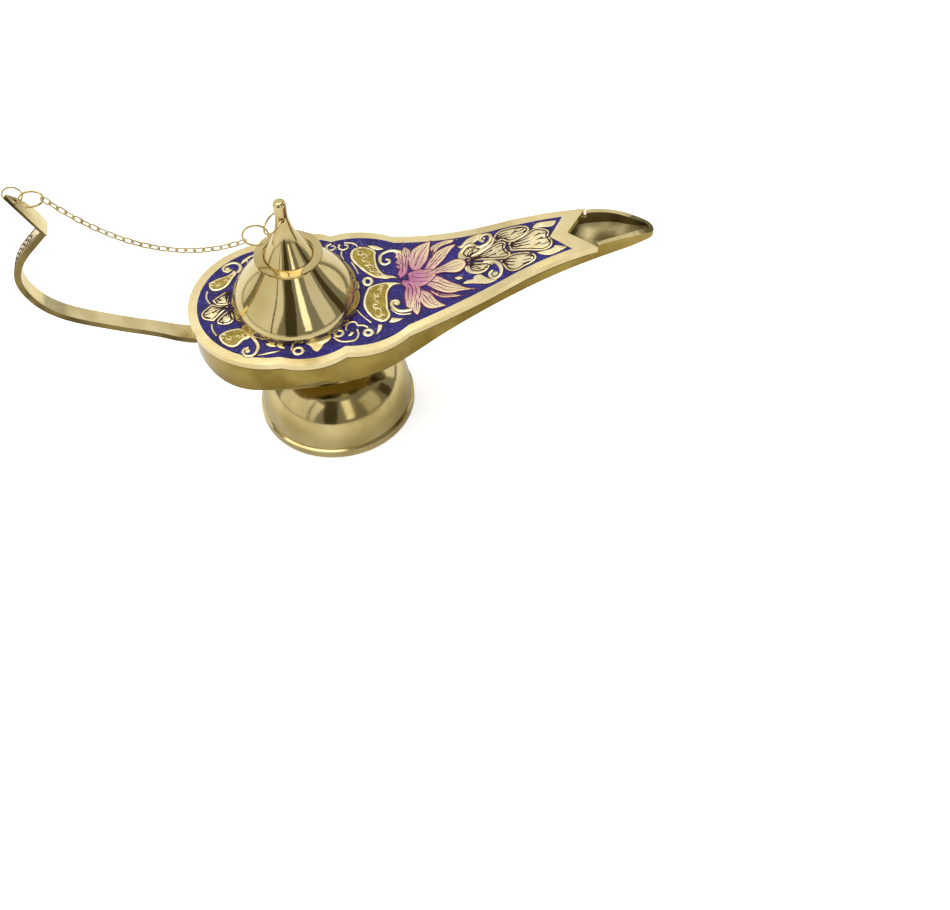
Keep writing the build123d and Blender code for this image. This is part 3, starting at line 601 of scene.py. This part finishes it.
nearPaisley = [(22.5, 0.7), (26.1, 1.9), (30.7, 2.1), (33.6, 1.5), (36.5, 0.3), (39, -1.4), (34.8, -0.6),
               (33, -1.8), (31.5, -3.9), (30.7, -6.8), (30.3, -11), (30, -15.6), (30.5, -19.8), (29.4, -22.3),
               (26.5, -23.7), (23.4, -22), (20.9, -18.9), (19.2, -14.8), (18.5, -11), (19, -7.3), (20, -3.9),
               (21.3, -1)]
nearYellow = [(26.4, -22.4), (24.2, -21.1), (22, -18.3), (20.4, -14.5), (19.8, -11), (20.2, -7.6),
              (21.2, -4.4), (22.4, -1.8), (23.4, -0.4), (26.3, 0.7), (30.2, 0.9), (31.3, 0.3), (31.6, -1.2),
              (30.3, -3.5), (29.5, -6.8), (29.1, -11), (28.8, -15.6), (29.2, -19.5), (28.4, -21.4)]
rearNearPaisley = [(-50, -19), (-47.5, -16.5), (-43.5, -15.5), (-39.5, -15.8), (-37.3, -18), (-35, -21.5),
                   (-36.5, -23), (-38.5, -23.5), (-40, -25), (-42, -26.8), (-44.5, -27), (-47.5, -25),
                   (-49.5, -22)]
rearNearYellow = [(-48.7, -19.4), (-46.8, -17.7), (-43.4, -16.8), (-40, -17), (-38.3, -18.8), (-36.9, -21.3),
                  (-39.2, -22.4), (-41, -24), (-42.6, -25.5), (-44.2, -25.7), (-46.8, -24), (-48.4, -21.6)]
rearFarPaisley = [(-53.5, 17.5), (-53, 13), (-50.5, 11.3), (-47, 12), (-44, 14.5), (-42, 18), (-39.5, 22),
                  (-41, 24.5), (-43, 22), (-46, 20.5), (-49.5, 19.6), (-52, 18.3)]
rearFarYellow = [(-52.2, 16.7), (-51.9, 13.8), (-50.2, 12.6), (-47.4, 13.2), (-45, 15.2), (-43.2, 18.4),
                 (-41.4, 21.4), (-44.4, 19.9), (-47.5, 18.8), (-50.4, 18)]
paisleys = [
    # brass outline, yellow inside, number of its tip point, curls along it and their radius
    (farPaisley, farYellow, 7, 8, 2.1),
    (nearPaisley, nearYellow, 11, 9, 2.1),
    (rearNearPaisley, rearNearYellow, 5, 4, 1.7),
    (rearFarPaisley, rearFarYellow, 6, 4, 1.5),
]

blooms = {
    # brass petals of the front flower and of the one behind the lid, each with its tip point
    "upperSide": ([(71.2, 4.6), (69, 6.6), (68.8, 9), (70.7, 11.5), (73, 12.7), (75.4, 11.2), (77.5, 9.9),
                   (80.5, 9.2), (83, 9), (81.5, 7.9), (78, 6.7), (74.5, 5.4)], 4),
    "lowerSide": ([(71, 1.2), (70.3, -1.5), (70.6, -4), (73, -6.3), (76, -7.3), (78.8, -6.6), (80.5, -5.2),
                   (83.4, -4.6), (82.3, -3.2), (79, -1.8), (75, -0.1)], 5),
    "bell": ([(70, 3), (76, 5), (82, 7), (85.5, 8), (88.5, 7.5), (90, 5.5), (89.3, 3), (89.8, 0.5),
              (91, -2.5), (90, -4.2), (87, -4), (82.5, -2), (77, 0.5)], 6),
    "upper": ([(85.2, 10), (86, 13.5), (88.5, 15), (91, 15), (95, 14.3), (99, 13.2), (101.8, 11), (102, 8.5),
               (99.5, 6.3), (95.5, 5), (91.5, 5.2), (90.2, 6.3), (88.5, 8.3), (86, 8.6)], 6),
    "right": ([(91, 4.8), (99, 6.2), (103, 8.3), (106, 8.2), (109, 6.3), (110.8, 4), (110, 1.5),
               (110.3, -0.5), (111, -3), (110, -6), (107.5, -7.4), (104, -7), (99.5, -4.7), (94, -2.2),
               (91, -0.8)], 6),
    "lower": ([(85.3, -4.5), (86.5, -9), (87.5, -12), (89.5, -14), (92, -14.6), (95.5, -13.7), (99, -13),
               (101.5, -11.3), (101.8, -9), (99.5, -6), (95.5, -4), (91, -3.2)], 7),
    "rearUpper": ([(-44.3, 10.5), (-47, 9.2), (-50, 7), (-52.4, 5), (-50.5, 2.2), (-47.5, 1), (-44, 1.2)], 3),
    "rearMiddle": ([(-44.5, 0), (-49.5, 1.3), (-52.5, 2.9), (-54.5, 1), (-57, -1.5), (-57.8, -4),
                    (-56.5, -6.8), (-54, -8), (-52, -8.7), (-50, -6.5), (-47, -3)], 5),
    "rearLower": ([(-44, -2), (-48.5, -6), (-50.5, -9), (-50.3, -11), (-47.5, -11.8), (-44.5, -11.7),
                   (-42.7, -9.8), (-42.8, -6)], 3),
}
leaves = [
    [(67.3, 14.5), (69.8, 14.8), (71.5, 16.5), (75, 18), (79, 18), (81, 17.5), (76, 13.5), (73, 14.6),
     (69.5, 12.3)],
    [(66.3, -11), (68, -9.7), (71.5, -10), (72.5, -8.3), (75, -8.3), (77, -11), (79.5, -13.8), (82.5, -15.5),
     (78, -16), (74, -14.3), (70, -12.3)],
    [(103.5, 9), (105.5, 11.3), (108.5, 11.3), (115.5, 9.8), (113.5, 7), (112, 6.7), (107.5, 8)],
    [(102, -7.5), (104.5, -7.6), (109.5, -7.8), (111.5, -6.2), (113.5, -7.2), (116.8, -9.5), (113, -10.8),
     (108.5, -11.7), (105, -10.2)],
    [(24.5, 29.8), (29, 28.6), (32.8, 25.2), (29, 25.5)],
    [(29, -24.6), (30.8, -21.8), (36.3, -23.8), (32, -25.2)],
    [(24, -24.8), (26, -25.3), (25, -28.6), (22.2, -31.4), (23, -28.8)],
    [(63, -5.6), (65.6, -5.4), (67.3, -7.5), (64.6, -7.3)],
    [(-29, -27.5), (-26, -27.6), (-23.7, -30.3), (-27, -29.8)],
    [(-24, -28.5), (-21.5, -29.6), (-20, -32.5), (-23, -31)],
    [(-34, -34.5), (-28, -33.2), (-21.5, -33.3), (-28, -34.4)],
    [(1.5, -26.7), (1.6, -29), (0.3, -31), (-2, -32.5), (-3.5, -35), (-5.5, -37), (-7.3, -35.5),
     (-8.5, -32.8), (-10.5, -31), (-12.2, -30.2), (-8, -30.3), (-7.8, -28.5), (-5, -28.2), (-2, -28.6),
     (0.5, -27.8)],
    [(9.3, -29.5), (11, -27), (12.6, -28), (10.5, -29.8)],
    [(-38, 27), (-35, 29.5), (-31, 33), (-36, 31)],
]
curls = [
    # points from the root to the free end, width at each end
    ([(40.7, 21), (36.5, 23.2), (33.5, 23), (31, 21.5), (30, 18.5), (30.3, 15.8), (32, 14.5), (34.2, 15),
      (34.3, 17), (32.8, 17.9)], (2.0, 1.3)),
    ([(41, -18.8), (38.5, -19), (35, -18.3), (32.7, -16), (31.8, -13), (32.5, -11), (34.3, -11),
      (35.2, -12.8), (34.3, -14.5)], (2.2, 1.4)),
    ([(31.2, -16), (33.5, -19.5), (36.5, -21), (40, -21.5)], (0.7, 0.9)),
    ([(70, 4.5), (68.2, 6.5), (68.3, 9), (70.3, 11.5), (72, 13), (74.5, 13), (75.8, 11), (77.5, 9.7),
      (80, 9.5), (82, 10.2), (83.5, 11.8), (84, 14), (83, 15.8), (80.5, 16.3), (79, 15), (79.2, 13),
      (80.6, 12)], (2.2, 1.5)),
    ([(85, 12), (84.2, 9.5), (81.5, 7.4), (78, 6.2), (73, 5.4)], (1.3, 1.8)),
    ([(69.5, -0.5), (70, -3.5), (72.5, -6), (76, -7.2), (78.5, -6.5), (79.5, -5.5)], (1.6, 1.2)),
    ([(78, -1.2), (82, -2.8), (84, -5), (85, -8), (84.9, -11.2), (83.4, -13.6), (81.3, -14), (79.7, -12.3),
      (79.6, -9.8), (81, -8.6)], (2.2, 1.4)),
    ([(8.7, -26), (9.5, -22.5), (11.5, -20.9), (13.8, -21.5), (14.5, -23.4), (17, -24),
      (19.2, -25.6)], (0.9, 1.1)),
    ([(2.8, -29), (5, -31.8), (9.5, -33), (12.5, -32.5), (14.2, -29.5), (14, -26)], (1.2, 0.9)),
    ([(-17.3, -34), (-16.5, -31), (-13.5, -28.3), (-10.5, -27)], (0.8, 1.1)),
    ([(-35, -21.5), (-33.3, -25), (-32.4, -27.5), (-32.8, -31), (-34.8, -33.5), (-37.5, -33.8),
      (-39.3, -31.8), (-39, -29.5), (-36.8, -28.5)], (1.8, 1.3)),
    ([(-39.5, 22), (-37.8, 25), (-38.5, 28), (-41, 29.5), (-43.5, 29), (-45.7, 27.5), (-46, 25), (-44, 23.6),
      (-42.3, 24.8)], (1.8, 1.3)),
    ([(-53, -10.5), (-52.8, -14), (-51, -18.5)], (0.8, 1.0)),
    ([(-54.3, 11.8), (-54.9, 8), (-54.2, 5), (-53.2, 3)], (1.0, 0.8)),
    ([(14.7, -12.5), (17.5, -18), (21, -23)], (0.5, 0.9)),
    ([(16, 19.3), (17.5, 15), (18.5, 10.5)], (0.9, 0.6)),
    ([(14, 34), (18.5, 32.5), (20.3, 30)], (0.9, 1.2)),
    ([(12, 28), (11.7, 25), (12.6, 22)], (0.8, 0.6)),
    ([(7.2, 34.4), (5, 33), (5.2, 30.6), (7.4, 29.8), (9.3, 31), (8.6, 32.9), (7.3, 32.6)], (1.3, 0.9)),
    ([(11.4, 33), (11, 30.4), (13, 28.8), (15.3, 29.8), (15.4, 31.8), (13.9, 32.5)], (1.3, 0.9)),
    ([(-31, 33), (-34, 31.8), (-34.6, 29.4), (-32.8, 28), (-31, 29)], (1.1, 0.8)),
]
rings = [
    # centre, ring's middle radius, width, stretch across
    ((22.4, 4.7), 1.9, 1.6, 1.25), ((18.9, -29), 1.8, 1.8, 1.0), ((5.3, -27), 1.9, 1.4, 1.0),
    ((-14.2, -34.7), 2.1, 1.5, 1.0),
]
bulbs = [((34, -12.8), 1.2), ((81.9, -11.3), 1.3), ((-37.2, -30.6), 1.2), ((-44.1, 25.7), 1.2),
         ((80.8, 14), 0.7)]

# strokes inside the petals: shares of the petal's width, start and end along it, width at both ends
lotusVeins = [((0.5,), 0.2, 0.86, (0.6, 0.3)), ((0.24, 0.76), 0.34, 0.76, (0.5, 0.24))]
bloomVeins = [((0.32, 0.5, 0.68), 0.08, 0.46, (1.3, 0.45)), ((0.26, 0.5, 0.74), 0.62, 0.82, (0.45, 0.85))]
bloomDrops = [
    # from the thin end to the thick one
    [(80.2, 3.4), (83.2, 4.4)], [(81.5, 1.2), (84.4, 1.0)], [(103.2, 3.4), (106.4, 4.2)],
    [(102.5, -2.6), (105.4, -2)], [(104, 0.6), (107, 0.9)], [(93.6, 0.1), (96.4, 0.3)],
    [(98, -7.6), (100.6, -6.6)], [(93, 9.3), (96, 10.8)], [(72.5, 8), (74.8, 9)], [(73.5, -3.6), (76, -4.8)],
    [(-50, -2.2), (-52.4, -3.2)], [(-47.6, -6.8), (-48.4, -8.8)], [(-47.5, 4.4), (-49.4, 5.2)],
]
lidLine = [(-43.3, 10), (-44.4, 5), (-44.6, 0), (-44.2, -5), (-43, -9.5)]

# widths across a stroke and insets from an outline
drawn = {"outline": 0.42, "thinOutline": 0.294, "insideOutline": 0.21, "contourInset": 0.75,
         "fillInset": 1.45, "drop": (0.45, 1.2), "lidLine": (0.7, 0.9), "hatch": (0.7, 0.45)}
# heights over the plate, and how much of its width a stroke keeps as height
raised = {"step": 0.025, "rim": 0.1, "leaf": 0.05, "curl": 0.04, "bulb": 0.06, "curlShare": 0.28,
          "underShare": 0.12}
hatchCurl = {"from": 0.1, "to": 0.86, "shrink": 0.45, "firstAngle": 0.6, "nextAngle": 2.4, "turn": 0.75,
             "tighten": 0.1, "points": 7}


def curlRow(outline, tip, count, radius):
    # small open curls along the middle of a paisley
    rows = []
    middle = flankLines(outline, tip, (0.5,), hatchCurl["from"], hatchCurl["to"], count - 1)[0]
    for number, (x, y) in enumerate(middle):
        size = radius * (1 - hatchCurl["shrink"] * number / count)
        first = hatchCurl["firstAngle"] + number * hatchCurl["nextAngle"]
        turns = [(size * (1 - hatchCurl["tighten"] * n), first + hatchCurl["turn"] * n)
                 for n in range(hatchCurl["points"])]
        rows.append([(x + reach * math.cos(angle), y + reach * math.sin(angle)) for reach, angle in turns])
    return rows


lotusLayer, brassLayer = Layer("lotusPetals"), Layer("brassMotifs")
yellowLayer, lineLayer, pinkLayer = Layer("paisleyEnamel"), Layer("engravedLines"), Layer("lotusLines")
levels = [raised["step"] * number for number in range(4)]
veinLift = 3 * raised["step"] + raised["rim"]

for order, (outline, tip) in enumerate(lotus.values()):
    # each petal lies a little over the one before, on a dark outline
    lift = order * raised["step"]
    pinkLayer.island([outline], grow=drawn["outline"], lift=lift)
    lotusLayer.island([outline], lift=lift + raised["step"])
    for shares, start, end, widths in lotusVeins:
        for line in flankLines(outline, tip, shares, start, end):
            pinkLayer.stroke(line, widths, lift=lift + raised["step"] + raised["rim"])
for outline, tip in blooms.values():
    # a dark contour inside the petal's edge, and veins from its base
    lineLayer.island([outline], grow=drawn["outline"], lift=levels[0])
    brassLayer.island([outline], lift=levels[1])
    lineLayer.island([outline], grow=-drawn["contourInset"], lift=levels[2])
    brassLayer.island([outline], grow=-drawn["fillInset"], lift=levels[3])
    for shares, start, end, widths in bloomVeins:
        for line in flankLines(outline, tip, shares, start, end, 3):
            lineLayer.stroke(line, widths, lift=veinLift)
for drop in bloomDrops:
    lineLayer.stroke(drop, drawn["drop"], lift=veinLift)
lineLayer.stroke(lidLine, drawn["lidLine"], lift=levels[3])
for outline, inside, tip, count, radius in paisleys:
    lineLayer.island([outline], grow=drawn["outline"], lift=levels[0])
    brassLayer.island([outline], lift=levels[1])
    lineLayer.island([inside], grow=drawn["insideOutline"], lift=levels[2])
    yellowLayer.island([inside], lift=levels[3])
    for line in curlRow(inside, tip, count, radius):
        brassLayer.stroke(line, drawn["hatch"], lift=veinLift)
for outline in leaves:
    lineLayer.island([outline], grow=drawn["thinOutline"], lift=levels[0])
    brassLayer.island([outline], lift=raised["leaf"])
for points, widths in curls:
    wide = tuple(width + 2 * drawn["thinOutline"] for width in widths)
    lineLayer.stroke(points, wide, lift=levels[0], flatten=raised["underShare"])
    brassLayer.stroke(points, widths, lift=raised["curl"], flatten=raised["curlShare"])
for (x, y), radius, width, stretch in rings:
    loop = circle(x, y, radius, 12, stretch)
    brassLayer.stroke([*loop, loop[0]], width, flatten=raised["curlShare"])
for (x, y), radius in bulbs:
    brassLayer.island([circle(x, y, radius, 8)], lift=raised["bulb"])

lotusLayer.finish("lotusEnamel", "enamel_pink", "enamel_pink")
pinkLayer.finish("pinkLine", "enamel_pink")
brassLayer.finish("motifBrass", "cast_brass")
yellowLayer.finish("yellowEnamel", "enamel_yellow", "enamel_yellow")
lineLayer.finish("maroonEnamel", "enamel_maroon", "enamel_maroon")
print("ornament done")


# Engraved lines on the strap's back, below its kink. The back runs through points in the lamp's middle
# plane, and the rest is laid out along and across it.
strap = {"back": [(-132.0, 100.0), (-133.4, 110.9), (-130.8, 119.6), (-124.6, 127.9), (-115.5, 137.1)],
         "probe": 3.0, "bends": (2, 44), "start": 1.0, "endGap": 2.0, "edge": 2.9, "edgeWidth": 0.8,
         "chevronStart": 2.0, "chevronEvery": 3.0, "chevronEndGap": 5.0, "chevronReach": 2.0,
         "chevronShoulder": 1.4, "chevronTip": 2.4, "chevronWidth": 0.9}
handleTree = BVHTree.FromObject(nodes["handle"], bpy.context.evaluated_depsgraph_get())


def onStrap(place):
    # x runs up along the strap's back from its first point, y across it, z out of it
    left = place.x
    for (ax, az), (bx, bz) in zip(strap["back"], strap["back"][1:]):
        start, run = Vector((ax, 0, az)), Vector((bx - ax, 0, bz - az))
        if left <= run.length or (bx, bz) == strap["back"][-1]:
            break
        left -= run.length
    out = Vector((-run.z, 0, run.x)).normalized()
    above = start + run.normalized() * left + Vector((0, place.y, 0)) + out * strap["probe"]
    hit, _, _, _ = handleTree.ray_cast(above * millimetre, -out)
    return (hit or above * millimetre) + out * place.z * millimetre


strapLayer = Layer("strapEngraving", onStrap, strap["bends"])
backLength = sum((Vector(b) - Vector(a)).length for a, b in zip(strap["back"], strap["back"][1:]))
strapLength = backLength - strap["endGap"]
for across in (strap["edge"], -strap["edge"]):
    line = [(along, across) for along in (strap["start"], strapLength / 2, strapLength)]
    strapLayer.stroke(line, strap["edgeWidth"], lift=0.0)
for number in range(int((strapLength - strap["chevronEndGap"]) / strap["chevronEvery"])):
    along, side = strap["chevronStart"] + number * strap["chevronEvery"], strap["chevronReach"]
    shoulder, tip = along + strap["chevronShoulder"], along + strap["chevronTip"]
    strapLayer.stroke([(along, -side), (shoulder, -side / 2), (tip, 0), (shoulder, side / 2), (along, side)],
                      strap["chevronWidth"], lift=0.0)
strapLayer.finish("maroonEnamel", "cast_brass")


# the photograph's camera, fitted to the lamp's round edges
camera = {"place": (0.0095, -0.4355, 0.4985), "lens": 47.37, "right": (0.9864, -0.1635, -0.0180),
          "up": (0.1399, 0.7761, 0.6149), "view": (0.0866, 0.6090, -0.7884)}
lensData = bpy.data.cameras.new("camera")
lensData.lens = camera["lens"]
lensData.sensor_fit = "HORIZONTAL"
eye = bpy.data.objects.new("camera", lensData)
bpy.context.scene.collection.objects.link(eye)
axes = Matrix((camera["right"], camera["up"], [-value for value in camera["view"]])).transposed()
eye.matrix_world = Matrix.Translation(camera["place"]) @ axes.to_4x4()
bpy.context.scene.camera = eye
bpy.context.scene.view_settings.view_transform = "Standard"


def plainMaterial(name, tone, glow=0.0):
    # glow adds white that only the camera sees
    material, tree, shader = newMaterial(name)
    shader.inputs["Base Color"].default_value = tone
    shader.inputs["Roughness"].default_value = 0.8
    shader.inputs["Specular IOR Level"].default_value = 0.1
    if glow:
        shader.inputs["Emission Color"].default_value = (1, 1, 1, 1)
        rays = addNode(tree, "ShaderNodeLightPath")
        tree.links.new(calc(tree, "MULTIPLY", rays.outputs["Is Camera Ray"], glow),
                       shader.inputs["Emission Strength"])
    return material


def panel(name, place, towards, width, height, material):
    # a flat stage card that faces a point
    bm = bmesh.new()
    bmesh.ops.create_grid(bm, x_segments=1, y_segments=1, size=0.5)
    bmesh.ops.scale(bm, verts=bm.verts, vec=(width, height, 1))
    turn = (Vector(towards) - Vector(place)).to_track_quat("Z", "Y").to_matrix().to_4x4()
    bmesh.ops.transform(bm, matrix=Matrix.Translation(place) @ turn, verts=bm.verts)
    mesh = bpy.data.meshes.new(name)
    bm.to_mesh(mesh)
    bm.free()
    mesh.materials.append(material)
    card = bpy.data.objects.new(name, mesh)
    bpy.context.scene.collection.objects.link(card)
    return card


floor = {"top": -0.0002, "size": 8, "tone": (0.9, 0.9, 0.89, 1), "glow": 0.5}
panel("floor", (0, 0, floor["top"]), (0, 0, 1), floor["size"], floor["size"],
      plainMaterial("floorWhite", floor["tone"], floor["glow"]))
shadeTone = plainMaterial("shadeDark", (0.06, 0.05, 0.025, 1))
shades = {
    # place, point it faces, width, height
    "cameraShade": ((-0.34, -1.27, 0.7), (0, 0, 0.1), 0.5, 1.6),
    "leftShade": ((-0.95, -0.9, 0.6), (0, 0, 0.1), 0.06, 1.3),
    "rightShade": ((1.3, -0.25, 0.4), (0, 0, 0.1), 0.3, 0.9),
}
for name, (place, towards, width, height) in shades.items():
    card = panel(name, place, towards, width, height, shadeTone)
    card.visible_camera = False
    card.visible_shadow = False
    card.visible_diffuse = False

lights = {
    # place, point it faces, width, height, watts
    "topLight": ((-0.25, 0.25, 1.6), (0, 0, 0), 1.6, 1.4, 13.0),
    "leftLight": ((-1.4, -0.6, 0.8), (0, 0, 0.08), 2.0, 1.6, 6.4),
    "backLight": ((-1.1, 1.0, 0.6), (0, 0, 0.08), 1.5, 1.1, 3.5),
    "rightLight": ((0.3, -1.3, 0.8), (0, 0, 0.08), 0.3, 1.3, 1.6),
    "frontRightLight": ((1.15, -0.95, 0.7), (0, 0, 0.08), 0.7, 1.2, 1.3),
    "plateLight": ((0.2, 1.15, 1.15), (0, 0, 0.08), 1.5, 0.9, 2.2),
    "farRightLight": ((1.3, 0.7, 0.7), (0, 0, 0.08), 1.1, 1.1, 2.6),
}
for name, (place, towards, width, height, power) in lights.items():
    light = bpy.data.lights.new(name, "AREA")
    light.shape = "RECTANGLE"
    light.size, light.size_y = width, height
    light.energy = power
    softbox = bpy.data.objects.new(name, light)
    bpy.context.scene.collection.objects.link(softbox)
    softbox.location = place
    softbox.rotation_euler = (Vector(towards) - Vector(place)).to_track_quat("-Z", "Y").to_euler()

# polished metal mirrors a darker room than the one that lights the enamel, and the camera sees white
room = {"lit": (0.55, 0.55, 0.54, 1), "mirrored": (0.27, 0.27, 0.25, 1), "seen": (1, 1, 1, 1)}
world = bpy.data.worlds.new("studio")
bpy.context.scene.world = world
world.use_nodes = True
worldTree = world.node_tree
worldTree.nodes.clear()
rays = addNode(worldTree, "ShaderNodeLightPath")
around = addNode(worldTree, "ShaderNodeBackground")
white = addNode(worldTree, "ShaderNodeBackground")
choose = addNode(worldTree, "ShaderNodeMixShader")
worldOut = addNode(worldTree, "ShaderNodeOutputWorld")
white.inputs["Color"].default_value = room["seen"]
worldTree.links.new(blendColours(worldTree, rays.outputs["Is Glossy Ray"], room["lit"], room["mirrored"]),
                    around.inputs["Color"])
worldTree.links.new(rays.outputs["Is Camera Ray"], choose.inputs[0])
worldTree.links.new(around.outputs[0], choose.inputs[1])
worldTree.links.new(white.outputs[0], choose.inputs[2])
worldTree.links.new(choose.outputs[0], worldOut.inputs[0])
print("stage done")
